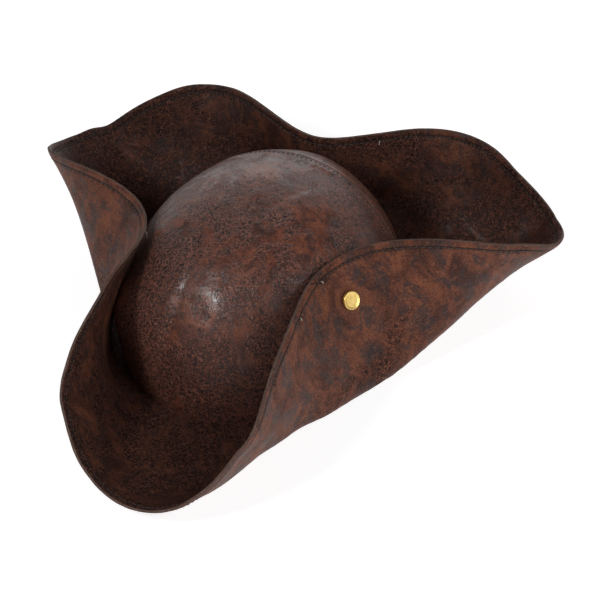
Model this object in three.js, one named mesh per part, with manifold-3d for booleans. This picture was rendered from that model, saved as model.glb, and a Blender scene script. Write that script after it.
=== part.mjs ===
// A pirate tricorne of imitation leather: a moulded crown, a brim of three layers turned up on
// three sides and riveted to the crown, a sweatband and the hat's topstitching.
// Millimetres, +Z up. The front corner points along -Y and, but for the left rivet's place, the
// hat is symmetric about X = 0.
// The origin lies under the middle of the hat's outline, on the surface it stands on.
import * as THREE from 'three';
import { ParametricGeometry } from 'three/addons/geometries/ParametricGeometry.js';
import { mergeVertices } from 'three/addons/utils/BufferGeometryUtils.js';
import Module from 'manifold-3d';

const wasm = await Module();
wasm.setup();

// Head opening and crown
const HEAD_HALF_LENGTH = 100;
const HEAD_HALF_WIDTH = 90;
const CROWN_Y = 30.3;           // the crown's middle, behind the origin
const CROWN_HEIGHT = 100;
const CROWN_ROUNDNESS = 0.89;  // 1 is an ellipsoid, less is squarer in the shoulder
const CROWN_LEAN = 5;          // how far the crown's top sits behind its base
const BACK_SEAM_Y = 34;        // back panel's seam, behind the crown's middle at the base
const BACK_SEAM_SLOPE = 0.3;   // and how much further back it runs for each mm of height
const SEAM_GAP = 0.3;

// Brim, cut flat, as distances from the crown's middle
const BRIM_RADIUS = 193.8;
const BRIM_OVAL = [-1.6, -1.7, 6.3];   // cosine terms of once, twice and three times the angle
const FLAP_HEADING = 67.7;         // a side flap's fold faces this many degrees from the front
const REAR_CORNER = 121.6;         // a rear corner's angle from the front
const FRONT_SPREAD = 34;           // angle over which the front corner swings round
const REAR_SPREAD = 50;
const PINCH_SHARE = 0.28;          // part of a rear corner's swing that is made at its very tip
const PINCH_SPREAD = 5;

// The brim's folding at stations round it, front to back; one side mirrors the other
const STATION_ANGLE = [0, 25, 50, 75, 100, 113, 125, 137, 150, 180];
const FOLD_TURN = [30, 56, 92, 107, 63, 30, 0, 24, 72, 124];       // degrees turned up
const FOLD_START = [149, 76, 83, 90, 71, 84, 83, 71, 83, 108];     // from the crown's middle
const FOLD_WIDTH = [42, 36, 26, 23.5, 82, 54, 23, 57, 57, 17];
const FLARE = [0, 2, 7, 11.5, -5, 5.5, 48.5, 47.5, -18, -38];      // further turn, out to the edge
const FLARE_OVERLAP = 0.3;         // share of the fold over which the flare has begun
const MIN_REST_WIDTH = 15;

// Layers, each clear of the next
const LEATHER = 0.7;
const STIFFENER = 0.4;
const LINING = 0.5;
const LAYER_GAP = 0.2;
const BRIM_THICKNESS = 2 * LEATHER + STIFFENER + 2 * LAYER_GAP;

// Sweatband
const BAND_HEIGHT = 30;
const BAND_THICKNESS = 1;
const BAND_JOIN = 1.2;
const TAPE_WIDTH = 18;
const TAPE_THICKNESS = 0.8;

// Stitching
const STITCH_INSET = 5;
const THREAD = 0.8;
const THREAD_LIFT = 0.8;
const SEAM_THREAD_STEPS = 24;
const SEAM_THREAD_END = 0.05;     // share of the seam hidden at either end

// Rivets: angle from the front and share of the brim's width
const RIGHT_RIVET = { angle: 69, reach: 0.72 };
const LEFT_RIVET = { angle: -60.5, reach: 0.56 };
const BACK_RIVET = { angle: 180, reach: 0.7 };
const CAP_RADIUS = 6.2;
const CAP_HEIGHT = 2.2;
const CAP_RIM = 0.6;
const INNER_CAP_RADIUS = 5;
const INNER_CAP_HEIGHT = 1.6;
const POST_RADIUS = 1.6;
const HOLE_RADIUS = 2.1;
const SOCKET_DEPTH = 1.2;
const SEAT_GAP = 1.5;
const INNER_SEAT_GAP = 3;

// Facets
const RING_STEPS = 60;
const REACH_ROWS = [0, 0.07, 0.15, 0.25, 0.37, 0.52, 0.72];
const FOLD_STEPS = 24;
const CROWN_STEPS = 36;
const CROWN_ROWS = 7;
const ROUND_STEPS = 14;
const DOME_ROWS = 5;
const THREAD_SIDES = 3;
const HALVINGS = 40;

const leather = new THREE.MeshStandardMaterial({ color: 0x4a2c20, roughness: 0.55, metalness: 0 });
const board = new THREE.MeshStandardMaterial({ color: 0x2a2624, roughness: 0.9, metalness: 0 });
const fabric = new THREE.MeshStandardMaterial({ color: 0x1c1a1a, roughness: 0.9, metalness: 0 });
const thread = new THREE.MeshStandardMaterial({ color: 0x1b1413, roughness: 0.8, metalness: 0 });
const brass = new THREE.MeshStandardMaterial({ color: 0xb9974f, roughness: 0.35, metalness: 1 });

const hat = new THREE.Group();

const radians = THREE.MathUtils.degToRad;
const smooth = (x) => THREE.MathUtils.smoothstep(x, 0, 1);

// Angle from the front, wrapped to -180..180 degrees
function wrapped(angle) {
  return THREE.MathUtils.euclideanModulo(angle + 180, 360) - 180;
}

// A smooth curve through the stations' values, the same on both sides of the hat
function atStation(angle, values) {
  const a = Math.abs(wrapped(angle));
  const last = STATION_ANGLE.length - 1;
  let i = 0;
  while (i < last - 1 && a > STATION_ANGLE[i + 1]) i += 1;
  const place = (k) => {
    if (k < 0) return [-STATION_ANGLE[-k], values[-k]];
    if (k > last) return [360 - STATION_ANGLE[2 * last - k], values[2 * last - k]];
    return [STATION_ANGLE[k], values[k]];
  };
  const [p0, p1, p2, p3] = [i - 1, i, i + 1, i + 2].map(place);
  const slope = (p, q) => (q[1] - p[1]) / (q[0] - p[0]);
  const tangent = (p, q, r) => {
    const before = q[0] - p[0];
    const after = r[0] - q[0];
    return (slope(p, q) * after + slope(q, r) * before) / (before + after);
  };
  const step = p2[0] - p1[0];
  const s = (a - p1[0]) / step;
  const startRise = tangent(p0, p1, p2) * step;
  const endRise = tangent(p1, p2, p3) * step;
  const blend = s * s * (3 - 2 * s);
  return p1[1] + (p2[1] - p1[1]) * blend
    + startRise * s * (1 - s) * (1 - s) - endRise * s * s * (1 - s);
}

// The way a fold faces: constant across each flap, swinging round at the three corners
function foldHeading(angle) {
  const signed = wrapped(angle);
  const a = Math.abs(signed);
  const swing = (x) => Math.sin(THREE.MathUtils.clamp(x, -1, 1) * Math.PI / 2);
  const front = FLAP_HEADING * swing(a / FRONT_SPREAD);
  const past = a - REAR_CORNER;
  const turned = THREE.MathUtils.lerp(swing(past / REAR_SPREAD), swing(past / PINCH_SPREAD),
    PINCH_SHARE);
  const rear = (180 - FLAP_HEADING) * (1 + turned) / 2;
  return Math.sign(signed) * (front + rear);
}

function openingPoint(angle, inset = 0) {
  const a = radians(angle);
  return new THREE.Vector3((HEAD_HALF_WIDTH - inset) * Math.sin(a),
    -(HEAD_HALF_LENGTH - inset) * Math.cos(a), 0);
}

function flatEdgePoint(angle) {
  const a = radians(angle);
  const radius = BRIM_OVAL.reduce((sum, term, k) => sum + term * Math.cos((k + 1) * a), BRIM_RADIUS);
  return new THREE.Vector3(radius * Math.sin(a), -radius * Math.cos(a), 0);
}

// Middle surface of the folded brim: each straight line of the flat brim, from the opening to the
// edge, is bent about the flap's fold, so its length stays the same
function brimMiddle(angle, reach) {
  const start = openingPoint(angle);
  const line = flatEdgePoint(angle).sub(start);
  const heading = radians(foldHeading(angle));
  const facing = new THREE.Vector3(Math.sin(heading), -Math.cos(heading), 0);
  const axis = new THREE.Vector3(facing.y, -facing.x, 0);
  const foldStart = atStation(angle, FOLD_START);
  const foldWidth = atStation(angle, FOLD_WIDTH);
  const turn = radians(atStation(angle, FOLD_TURN));
  const flare = radians(atStation(angle, FLARE));
  const flareStart = foldStart + foldWidth * (1 - FLARE_OVERLAP);
  const edge = start.clone().add(line).dot(facing);
  const rest = Math.max(edge - foldStart - foldWidth, MIN_REST_WIDTH);
  const flareWidth = rest + FLARE_OVERLAP * foldWidth;
  const point = start.clone();
  const step = line.clone().multiplyScalar(reach / FOLD_STEPS);
  for (let i = 0; i < FOLD_STEPS; i += 1) {
    const s = start.dot(facing) + line.dot(facing) * reach * (i + 0.5) / FOLD_STEPS;
    const bend = turn * smooth((s - foldStart) / foldWidth)
      + flare * smooth((s - flareStart) / flareWidth);
    point.add(step.clone().applyAxisAngle(axis, bend));
  }
  return point.add(new THREE.Vector3(0, CROWN_Y, BRIM_THICKNESS / 2));
}

// Directions on the middle surface: out to the edge, and upwards, which on a flap is at the crown
function brimDirections(angle, reach) {
  const [turnStep, reachStep] = [0.2, 0.004];
  const outward = brimMiddle(angle, reach + reachStep).sub(brimMiddle(angle, reach - reachStep));
  const around = brimMiddle(angle + turnStep, reach).sub(brimMiddle(angle - turnStep, reach));
  return { outward: outward.normalize(), normal: outward.clone().cross(around).normalize() };
}

function brimPoint(angle, reach, lift) {
  return brimMiddle(angle, reach).addScaledVector(brimDirections(angle, reach).normal, lift);
}

function stitchReach(angle) {
  return 1 - STITCH_INSET / openingPoint(angle).distanceTo(flatEdgePoint(angle));
}

function closedBody(geometry) {
  geometry.deleteAttribute('normal');
  geometry.deleteAttribute('uv');
  return mergeVertices(geometry);
}

function toManifold(geometry) {
  const merged = closedBody(geometry);
  return new wasm.Manifold(new wasm.Mesh({
    numProp: 3,
    vertProperties: merged.attributes.position.array,
    triVerts: Uint32Array.from(merged.index.array),
  }));
}

function fromManifold(solid) {
  const mesh = solid.getMesh();
  const geometry = new THREE.BufferGeometry();
  geometry.setAttribute('position', new THREE.BufferAttribute(mesh.vertProperties, 3));
  geometry.setIndex(new THREE.BufferAttribute(mesh.triVerts, 1));
  return geometry;
}

function addPart(name, geometry, material) {
  const mesh = new THREE.Mesh(geometry, material);
  mesh.name = name;
  hat.add(mesh);
}

// One layer of the brim, from one lift above the middle surface to another. Its two faces are cut
// into triangles along the same diagonals, so that neighbouring layers stay clear of each other.
function brimLayer(lowLift, highLift) {
  const rows = REACH_ROWS.length + 2;
  const corners = [];
  for (let i = 0; i < RING_STEPS; i += 1) {
    const angle = 360 * i / RING_STEPS;
    const reaches = [...REACH_ROWS, stitchReach(angle), 1];
    reaches.forEach((reach) => corners.push(brimPoint(angle, reach, lowLift)));
    reaches.forEach((reach) => corners.push(brimPoint(angle, reach, highLift)));
  }
  const at = (i, row, high) => (i % RING_STEPS) * 2 * rows + row + (high ? rows : 0);
  const index = [];
  const square = (a, b, c, d) => index.push(a, b, c, a, c, d);
  for (let i = 0; i < RING_STEPS; i += 1) {
    for (let row = 0; row < rows - 1; row += 1) {
      square(at(i, row, true), at(i, row + 1, true), at(i + 1, row + 1, true), at(i + 1, row, true));
      index.push(at(i, row), at(i + 1, row + 1), at(i, row + 1));
      index.push(at(i, row), at(i + 1, row), at(i + 1, row + 1));
    }
    square(at(i, 0), at(i, 0, true), at(i + 1, 0, true), at(i + 1, 0));
    const last = rows - 1;
    square(at(i, last), at(i + 1, last), at(i + 1, last, true), at(i, last, true));
  }
  return toManifold(new THREE.BufferGeometry().setFromPoints(corners).setIndex(index));
}

// A ring of thread over the stitch line, a given lift above the middle surface
function threadRing(lift) {
  const geometry = new ParametricGeometry((u, v, target) => {
    const angle = 360 * (Math.round(u * RING_STEPS) % RING_STEPS) / RING_STEPS;
    const turn = 2 * Math.PI * (Math.round(v * THREAD_SIDES) % THREAD_SIDES) / THREAD_SIDES;
    const reach = stitchReach(angle);
    const { outward, normal } = brimDirections(angle, reach);
    target.copy(brimMiddle(angle, reach));
    target.addScaledVector(normal, lift + Math.cos(turn) * THREAD / 2);
    target.addScaledVector(outward, -Math.sin(turn) * THREAD / 2);
  }, RING_STEPS, THREAD_SIDES);
  return closedBody(geometry);
}

// Points of the crown's half section, from the top down to the rim, a given depth under its face
function crownProfile(depth) {
  const points = [];
  for (let i = 0; i <= CROWN_ROWS; i += 1) {
    const a = Math.PI / 2 * (1 - i / CROWN_ROWS);
    const across = i === 0 ? 0 : Math.cos(a) ** CROWN_ROUNDNESS;
    const up = i === CROWN_ROWS ? 0 : Math.sin(a) ** CROWN_ROUNDNESS;
    points.push(new THREE.Vector2((HEAD_HALF_LENGTH - SEAM_GAP - depth) * across,
      (CROWN_HEIGHT - depth) * up));
  }
  return points;
}

// Turns a section lathed about Y upright, makes it oval, leans it back and sets it in place
function placeCrown(geometry) {
  geometry.rotateX(Math.PI / 2);
  geometry.scale((HEAD_HALF_WIDTH - SEAM_GAP) / (HEAD_HALF_LENGTH - SEAM_GAP), 1, 1);
  const lean = new THREE.Matrix4().makeShear(0, 0, 0, 0, 0, CROWN_LEAN / CROWN_HEIGHT);
  geometry.applyMatrix4(lean);
  geometry.translate(0, CROWN_Y, BRIM_THICKNESS / 2);
  return geometry;
}

function crownShell(depth, thickness) {
  const section = [...crownProfile(depth + thickness), ...crownProfile(depth).reverse()];
  return toManifold(placeCrown(new THREE.LatheGeometry(section, CROWN_STEPS)));
}

// Everything behind the crown's back seam, moved by a small gap either way
function behindSeam(gap) {
  const reach = 2 * HEAD_HALF_LENGTH;
  const seamAt = (z) => CROWN_Y + BACK_SEAM_Y + gap + BACK_SEAM_SLOPE * z;
  const outline = new THREE.Shape([
    new THREE.Vector2(seamAt(-reach), -reach),
    new THREE.Vector2(CROWN_Y + 2 * reach, -reach),
    new THREE.Vector2(CROWN_Y + 2 * reach, reach),
    new THREE.Vector2(seamAt(reach), reach),
  ]);
  const geometry = new THREE.ExtrudeGeometry(outline, { depth: 2 * reach, bevelEnabled: false });
  geometry.translate(0, 0, -reach);
  geometry.applyMatrix4(new THREE.Matrix4().makeBasis(new THREE.Vector3(0, 1, 0),
    new THREE.Vector3(0, 0, 1), new THREE.Vector3(1, 0, 0)));
  return toManifold(geometry);
}

// 1 on the crown's face at the given depth, less inside it
function crownShare(point, depth) {
  const power = 2 / CROWN_ROUNDNESS;
  const z = point.z - BRIM_THICKNESS / 2;
  const side = point.x / (HEAD_HALF_WIDTH - SEAM_GAP - depth);
  const along = (point.y - CROWN_Y - CROWN_LEAN * z / CROWN_HEIGHT)
    / (HEAD_HALF_LENGTH - SEAM_GAP - depth);
  const up = Math.max(z, 0) / (CROWN_HEIGHT - depth);
  return Math.hypot(side, along) ** power + up ** power;
}

// Halves the range until it finds where a line of points crosses the crown's face
function crossing(pointAt, depth, inside, outside) {
  let [within, beyond] = [inside, outside];
  for (let i = 0; i < HALVINGS; i += 1) {
    const middle = (within + beyond) / 2;
    if (crownShare(pointAt(middle), depth) < 1) within = middle;
    else beyond = middle;
  }
  return within;
}

// A point of the back seam, from the hat's right (share 0) over the crown to its left (share 1)
function seamPoint(share, lift) {
  const turn = Math.PI * share;
  const pointAt = (scale) => {
    const z = scale * CROWN_HEIGHT * Math.sin(turn);
    return new THREE.Vector3(scale * HEAD_HALF_WIDTH * Math.cos(turn),
      CROWN_Y + BACK_SEAM_Y + BACK_SEAM_SLOPE * z, z + BRIM_THICKNESS / 2);
  };
  return pointAt(crossing(pointAt, -lift, 0, 2));
}

// The thread that closes the crown's back seam
function seamThread() {
  const points = [];
  for (let i = 0; i <= SEAM_THREAD_STEPS; i += 1) {
    const share = THREE.MathUtils.lerp(SEAM_THREAD_END, 1 - SEAM_THREAD_END, i / SEAM_THREAD_STEPS);
    points.push(seamPoint(share, THREAD_LIFT));
  }
  const radius = THREAD / 2;
  const section = new THREE.Shape([new THREE.Vector2(radius, 0), new THREE.Vector2(0, radius),
    new THREE.Vector2(-radius, 0), new THREE.Vector2(0, -radius)]);
  return closedBody(new THREE.ExtrudeGeometry(section, {
    extrudePath: new THREE.CatmullRomCurve3(points), steps: SEAM_THREAD_STEPS, bevelEnabled: false,
  }));
}

// A rivet's place: its point in the flap's middle surface, the way in to the crown, and how far it
// is that way to the crown's inner face
function rivetPlace({ angle, reach }) {
  const point = brimMiddle(angle, reach);
  const inward = brimDirections(angle, reach).normal;
  const pointAt = (distance) => point.clone().addScaledVector(inward, distance);
  const innerFace = 2 * LAYER_GAP + LEATHER + STIFFENER + LINING;
  return { point, inward, depth: crossing(pointAt, innerFace, HEAD_HALF_WIDTH / 2, 0) };
}

function rivetHole({ point, inward, depth }) {
  const length = 2 * (depth + BRIM_THICKNESS + CAP_HEIGHT);
  const geometry = new THREE.CylinderGeometry(HOLE_RADIUS, HOLE_RADIUS, length, ROUND_STEPS);
  const turn = new THREE.Quaternion().setFromUnitVectors(new THREE.Vector3(0, 1, 0), inward);
  geometry.applyQuaternion(turn);
  geometry.translate(point.x, point.y, point.z);
  return toManifold(geometry);
}

// Half section of a shallow dome from its top down to its rim
function domeProfile(radius, height) {
  const points = [];
  for (let i = 0; i <= DOME_ROWS; i += 1) {
    const a = Math.PI / 2 * (1 - i / DOME_ROWS);
    const across = i === 0 ? 0 : radius * Math.cos(a);
    points.push(new THREE.Vector2(across, CAP_RIM + (height - CAP_RIM) * Math.sin(a)));
  }
  points.push(new THREE.Vector2(radius, 0));
  return points;
}

// A turned brass piece, its profile given from its top down, standing at a point along a direction
function addTurned(name, profile, point, direction) {
  const geometry = new THREE.LatheGeometry(profile.reverse(), ROUND_STEPS);
  const piece = new THREE.Mesh(closedBody(geometry), brass);
  piece.name = name;
  piece.position.copy(point);
  piece.quaternion.setFromUnitVectors(new THREE.Vector3(0, 1, 0), direction);
  hat.add(piece);
}

function addRivet(side, { point, inward, depth }) {
  const seat = BRIM_THICKNESS / 2 + SEAT_GAP;
  const innerSeat = depth + INNER_SEAT_GAP;
  const postLength = seat + innerSeat + SOCKET_DEPTH - LAYER_GAP;

  const cap = [...domeProfile(CAP_RADIUS, CAP_HEIGHT), new THREE.Vector2(POST_RADIUS, 0),
    new THREE.Vector2(POST_RADIUS, -postLength), new THREE.Vector2(0, -postLength)];
  addTurned(`rivet_cap_${side}`, cap, point.clone().addScaledVector(inward, -seat),
    inward.clone().negate());

  const socket = POST_RADIUS + LAYER_GAP;
  const back = [...domeProfile(INNER_CAP_RADIUS, INNER_CAP_HEIGHT + SOCKET_DEPTH),
    new THREE.Vector2(socket, 0), new THREE.Vector2(socket, SOCKET_DEPTH),
    new THREE.Vector2(0, SOCKET_DEPTH)];
  addTurned(`rivet_back_${side}`, back, point.clone().addScaledVector(inward, innerSeat), inward);
}

// A band round the inside of the crown's lower edge, a given depth under the crown's face
function band(depth, thickness) {
  const size = 4 * HEAD_HALF_LENGTH;
  const slab = new THREE.BoxGeometry(size, size, 2 * BAND_HEIGHT);
  return crownShell(depth, thickness).intersect(toManifold(slab));
}

// A block across the back of the band, as wide as given
function backBlock(width) {
  const geometry = new THREE.BoxGeometry(width, HEAD_HALF_LENGTH, 2 * BAND_HEIGHT);
  geometry.translate(0, CROWN_Y + HEAD_HALF_LENGTH, 0);
  return toManifold(geometry);
}

const rivetPlaces = {
  right: rivetPlace(RIGHT_RIVET),
  left: rivetPlace(LEFT_RIVET),
  back: rivetPlace(BACK_RIVET),
};
const holes = Object.values(rivetPlaces).map(rivetHole);

function addPierced(name, solid, material) {
  const pierced = holes.reduce((rest, hole) => rest.subtract(hole), solid);
  addPart(name, fromManifold(pierced), material);
}

const half = STIFFENER / 2;
addPierced('brim_under', brimLayer(-half - LAYER_GAP - LEATHER, -half - LAYER_GAP), leather);
addPierced('brim_stiffener', brimLayer(-half, half), board);
addPierced('brim_upper', brimLayer(half + LAYER_GAP, half + LAYER_GAP + LEATHER), leather);

const crownSkin = crownShell(0, LEATHER);
addPierced('crown_front', crownSkin.subtract(behindSeam(-LAYER_GAP)), leather);
addPierced('crown_back', crownSkin.intersect(behindSeam(LAYER_GAP)), leather);
const stiffenerDepth = LEATHER + LAYER_GAP;
addPierced('crown_stiffener', crownShell(stiffenerDepth, STIFFENER), board);
const liningDepth = stiffenerDepth + STIFFENER + LAYER_GAP;
addPierced('crown_lining', crownShell(liningDepth, LINING), fabric);

const bandDepth = liningDepth + LINING + LAYER_GAP;
addPart('sweatband', fromManifold(band(bandDepth, BAND_THICKNESS).subtract(backBlock(BAND_JOIN))),
  fabric);
addPart('sweatband_tape', fromManifold(band(bandDepth + BAND_THICKNESS + LAYER_GAP, TAPE_THICKNESS)
  .intersect(backBlock(TAPE_WIDTH))), fabric);

addPart('brim_thread_upper', threadRing(BRIM_THICKNESS / 2 + THREAD_LIFT), thread);
addPart('brim_thread_under', threadRing(-BRIM_THICKNESS / 2 - THREAD_LIFT), thread);
addPart('crown_seam_thread', seamThread(), thread);

Object.entries(rivetPlaces).forEach(([side, place]) => addRivet(side, place));

export default hat;
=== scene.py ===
"""A pirate tricorne of distressed imitation leather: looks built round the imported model.

Shapes are worked out in millimetres, as in the model, and stored in metres. The front corner
points along -Y. The hat is symmetric about X = 0, apart from the left rivet, the loose ends of
thread, and its creases and grain.
"""
import math

import bmesh
import bpy
import numpy as np
from mathutils import Matrix, Vector


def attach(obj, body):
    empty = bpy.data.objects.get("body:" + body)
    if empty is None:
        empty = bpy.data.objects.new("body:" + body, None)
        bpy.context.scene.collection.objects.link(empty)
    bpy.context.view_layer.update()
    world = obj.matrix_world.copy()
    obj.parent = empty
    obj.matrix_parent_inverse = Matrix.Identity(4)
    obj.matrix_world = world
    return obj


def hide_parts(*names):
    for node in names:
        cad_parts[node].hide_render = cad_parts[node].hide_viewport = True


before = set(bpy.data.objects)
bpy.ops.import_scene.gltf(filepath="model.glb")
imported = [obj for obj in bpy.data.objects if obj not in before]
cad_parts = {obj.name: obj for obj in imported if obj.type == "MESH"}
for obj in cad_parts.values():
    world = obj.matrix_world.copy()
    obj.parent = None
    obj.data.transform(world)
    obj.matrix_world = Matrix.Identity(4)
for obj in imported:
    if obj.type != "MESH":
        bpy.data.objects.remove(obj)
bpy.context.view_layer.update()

MM = 0.001

# Head opening and crown
HEAD_HALF_LENGTH = 100
HEAD_HALF_WIDTH = 90
CROWN_Y = 30.3
CROWN_HEIGHT = 100
CROWN_ROUNDNESS = 0.89
CROWN_LEAN = 5
BACK_SEAM_Y = 34
BACK_SEAM_SLOPE = 0.3
SEAM_GAP = 0.3                 # between the crown's wall and the brim's opening
SEAM_HALF_GAP = 0.05           # between each of the crown's panels and the plane of its back seam

# Brim, cut flat, as distances from the crown's middle
BRIM_RADIUS = 193.8
BRIM_OVAL = [-1.6, -1.7, 6.3]
FLAP_HEADING = 67.7
REAR_CORNER = 121.6
FRONT_SPREAD = 34
REAR_SPREAD = 50
PINCH_SHARE = 0.28
PINCH_SPREAD = 5

# The brim's folding at stations round it, front to back; one side mirrors the other
STATION_ANGLE = [0, 25, 50, 75, 100, 113, 125, 137, 150, 180]
FOLD_TURN = [30, 56, 92, 107, 63, 30, 0, 24, 72, 124]
FOLD_START = [149, 76, 83, 90, 71, 84, 83, 71, 83, 108]
FOLD_WIDTH = [42, 36, 26, 23.5, 82, 54, 23, 57, 57, 17]
FLARE = [0, 2, 7, 11.5, -5, 5.5, 48.5, 47.5, -18, -38]
FLARE_OVERLAP = 0.3
MIN_REST_WIDTH = 15
BRIM_TUCK = 1.3                # how far the brim runs on under the crown's wall
SKIRT_LEVEL = 0.4              # height at which that wall ends, inside the brim

# Layers
LEATHER = 0.7
STIFFENER = 0.4
LINING = 0.5
LAYER_GAP = 0.2
BRIM_THICKNESS = 2 * LEATHER + STIFFENER + 2 * LAYER_GAP
BRIM_HALF = BRIM_THICKNESS / 2
CROWN_THICKNESS = LEATHER + STIFFENER + LINING + 2 * LAYER_GAP

# Sweatband
BAND_LOW = 0.3                 # heights of its lower and upper edge
BAND_HEIGHT = 30
BAND_GAP = 0.9                 # behind it, for the lining's folds
BAND_THICKNESS = 1
TAPE_THICKNESS = 0.8
TAPE_HALF_ANGLE = 6            # of the tape over the band's join, at the back

# Stitching
STITCH_INSET = 5
STITCHES = 350                 # round the brim's edge
STITCH_SHARES = (0.8, 0.93)    # shortest and longest stitch, as shares of the pitch
STITCH_STRAY = 0.05            # how far stitches turn out of line
THREAD_RADIUS = 0.36
# Loose ends of thread: angle, side (1 above, -1 below), length and drift round the brim
LOOSE_ENDS = [(-69, 1, 7, 1.5), (64, -1, 2.5, 1.2), (54, -1, 2, -0.8), (168, 1, 2.5, 1)]
LOOSE_RADIUS = 0.3
LOOSE_CURL = 1.6               # how far a loose end stands off the leather
SEAM_STITCH_OFFSET = 3         # crown's topstitching, ahead of its back seam
SEAM_STITCH_PITCH = 3.2
SEAM_STITCH_SHARE = 0.82

# The leather's relief, each as a height or depth and a half-width
GROOVE = (0.38, 1.0)           # that the stitches lie in
PUCKER = (0.22, 2.4)           # at the needle's holes
OUTER_PUFF = (0.2, 1.3, 2.6)   # between the stitches and the edge: the third is its distance in
INNER_PUFF = (0.1, 2, 8)       # and on the stitches' other side
RIM = (0.3, 0.8)               # rounding at the cut edge
BACK_SQUEEZE = 0.16            # thinning of each layer's back at the edge
FRAY = (-0.05, 0.09)
SEAM_FOLD = (1.1, 0.55)        # between the crown's panels
SEAM_RAISE = 0.55              # where the crown's seam allowance lies under its leather
SEAM_ALLOWANCE = 5
SEAM_EASE = 4
FOOT_TUCK = 0.6                # how far in the crown's foot is drawn, below FOOT_HEIGHT
FOOT_HEIGHT = 12
SEAM_GROOVE = (0.25, 0.8)      # under the crown's topstitching

# Creases, each as a height, a wavelength and a seed
BRIM_BROAD = (0.3, 42, 3)
BRIM_SMALL = (0.08, 17, 5)
FACE_CREASE = (0.05, 7)        # the seed is the layer's own
CROWN_BROAD = (0.28, 46, 11)
CROWN_SMALL = (0.07, 15, 12)
UPPER_SEED = 21                # of each of the brim's leather layers
UNDER_SEED = 22
FREE_START = 4                 # the brim is free to crease within FREE_WIDTH of its edge
FREE_WIDTH = 70
HELD_SHARE = 0.25              # share of the broad creases left where the crown holds it

# Rivets: angle from the front and share of the brim's width
RIGHT_RIVET = (69, 0.72)
LEFT_RIVET = (-60.5, 0.56)
BACK_RIVET = (180, 0.7)
CAP_RADIUS = 6.2
CAP_HEIGHT = 2.2
CAP_GAP = 0.25                 # between a cap and the brim's level face
INNER_CAP_RADIUS = 5
INNER_CAP_HEIGHT = 1.6
INNER_CAP_GAP = 0.2            # between an inner cap and the lining
INNER_POST_RADIUS = 1.8
INNER_POST_LENGTH = 0.4
POST_RADIUS = 1.6
RIVET_PRESS_INNER = 7          # leather lies flat this far round a rivet
RIVET_PRESS_OUTER = 17         # and takes up its curve again this far from it
RIVET_DRAW = 24                # how widely the crown is drawn out to a rivet
RIVET_REACH = 40
PROBE_ANGLE = 0.2              # steps to either side of a rivet that show how it faces
PROBE_REACH = 0.004
PROBE_ROWS = 24

# Mesh fineness
COLUMNS_PER_STITCH = 4
FOLD_SUBSTEPS = 3
EDGE_ROWS = [12, 10.5, 9.2, 8.2, 7.4, 6.7, 6.1, 5.5, 5, 4.5, 3.9, 3.3, 2.7, 2.1, 1.5, 0.9, 0.4, 0]
INNER_ROWS = 22
ROW_SPREAD = 1.15              # above 1, the inner rows close up towards the crown
BACK_CLEARANCE = 0.02
STIFFENING_COLUMNS = 700
STIFFENING_ROWS = [12, 8, 4, 1.5, 0.25]
STITCH_ROWS = [STITCH_INSET + 2, STITCH_INSET + 1, STITCH_INSET, STITCH_INSET - 1]
STITCH_ROW = INNER_ROWS + 2    # of a grid whose last rows are these, the row of the stitches
DOME_FINENESS = 7
INNER_DOME_FINENESS = 6
BAND_ROWS = 13
RIVET_SIDES = 72
# Distances from the crown's back seam at which its leather has an edge of the mesh
SEAM_CUTS = [0.3, 0.7, 1.1, 1.6, 2.2, 2.8, 3.4, 4.2, 5.2, 6.5, 8, 10]

AROUND = 2 * math.pi
CROWN_MIDDLE = np.array([0, CROWN_Y, BRIM_HALF])
DOME_POWER = 2 / CROWN_ROUNDNESS


# ------------ the folded brim

def wrapped(angle):
    return (angle + 180) % 360 - 180


def smooth(x):
    x = np.clip(x, 0, 1)
    return x * x * (3 - 2 * x)


def at_station(angle, values):
    """A smooth curve through the stations' values, the same on both sides of the hat."""
    a = np.abs(wrapped(angle))
    places = np.array([-STATION_ANGLE[1], *STATION_ANGLE, 360 - STATION_ANGLE[-2]], float)
    levels = np.array([values[1], *values, values[-2]], float)
    steps = np.diff(places)
    slopes = np.diff(levels) / steps
    tangents = (slopes[:-1] * steps[1:] + slopes[1:] * steps[:-1]) / (steps[:-1] + steps[1:])
    i = np.clip(np.searchsorted(STATION_ANGLE, a) - 1, 0, len(STATION_ANGLE) - 2)
    step = steps[i + 1]
    s = (a - places[i + 1]) / step
    low, high = levels[i + 1], levels[i + 2]
    rise = tangents[i] * step * s * (1 - s) ** 2 - tangents[i + 1] * step * s ** 2 * (1 - s)
    return low + (high - low) * smooth(s) + rise


def fold_heading(angle):
    """The way a fold faces: constant across a flap, swinging round at the three corners."""
    signed = wrapped(angle)
    a = np.abs(signed)

    def swing(x):
        return np.sin(np.clip(x, -1, 1) * math.pi / 2)

    front = FLAP_HEADING * swing(a / FRONT_SPREAD)
    past = a - REAR_CORNER
    pinch = swing(past / PINCH_SPREAD)
    turned = swing(past / REAR_SPREAD) * (1 - PINCH_SHARE) + pinch * PINCH_SHARE
    rear = (180 - FLAP_HEADING) * (1 + turned) / 2
    return np.sign(signed) * (front + rear)


def opening_point(angle):
    a = np.radians(angle)
    return np.stack([HEAD_HALF_WIDTH * np.sin(a), -HEAD_HALF_LENGTH * np.cos(a)], -1)


def flat_edge_point(angle):
    a = np.radians(angle)
    radius = BRIM_RADIUS + sum(term * np.cos((k + 1) * a) for k, term in enumerate(BRIM_OVAL))
    return np.stack([radius * np.sin(a), -radius * np.cos(a)], -1)


def flat_width(angle):
    return np.linalg.norm(flat_edge_point(angle) - opening_point(angle), axis=-1)


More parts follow.
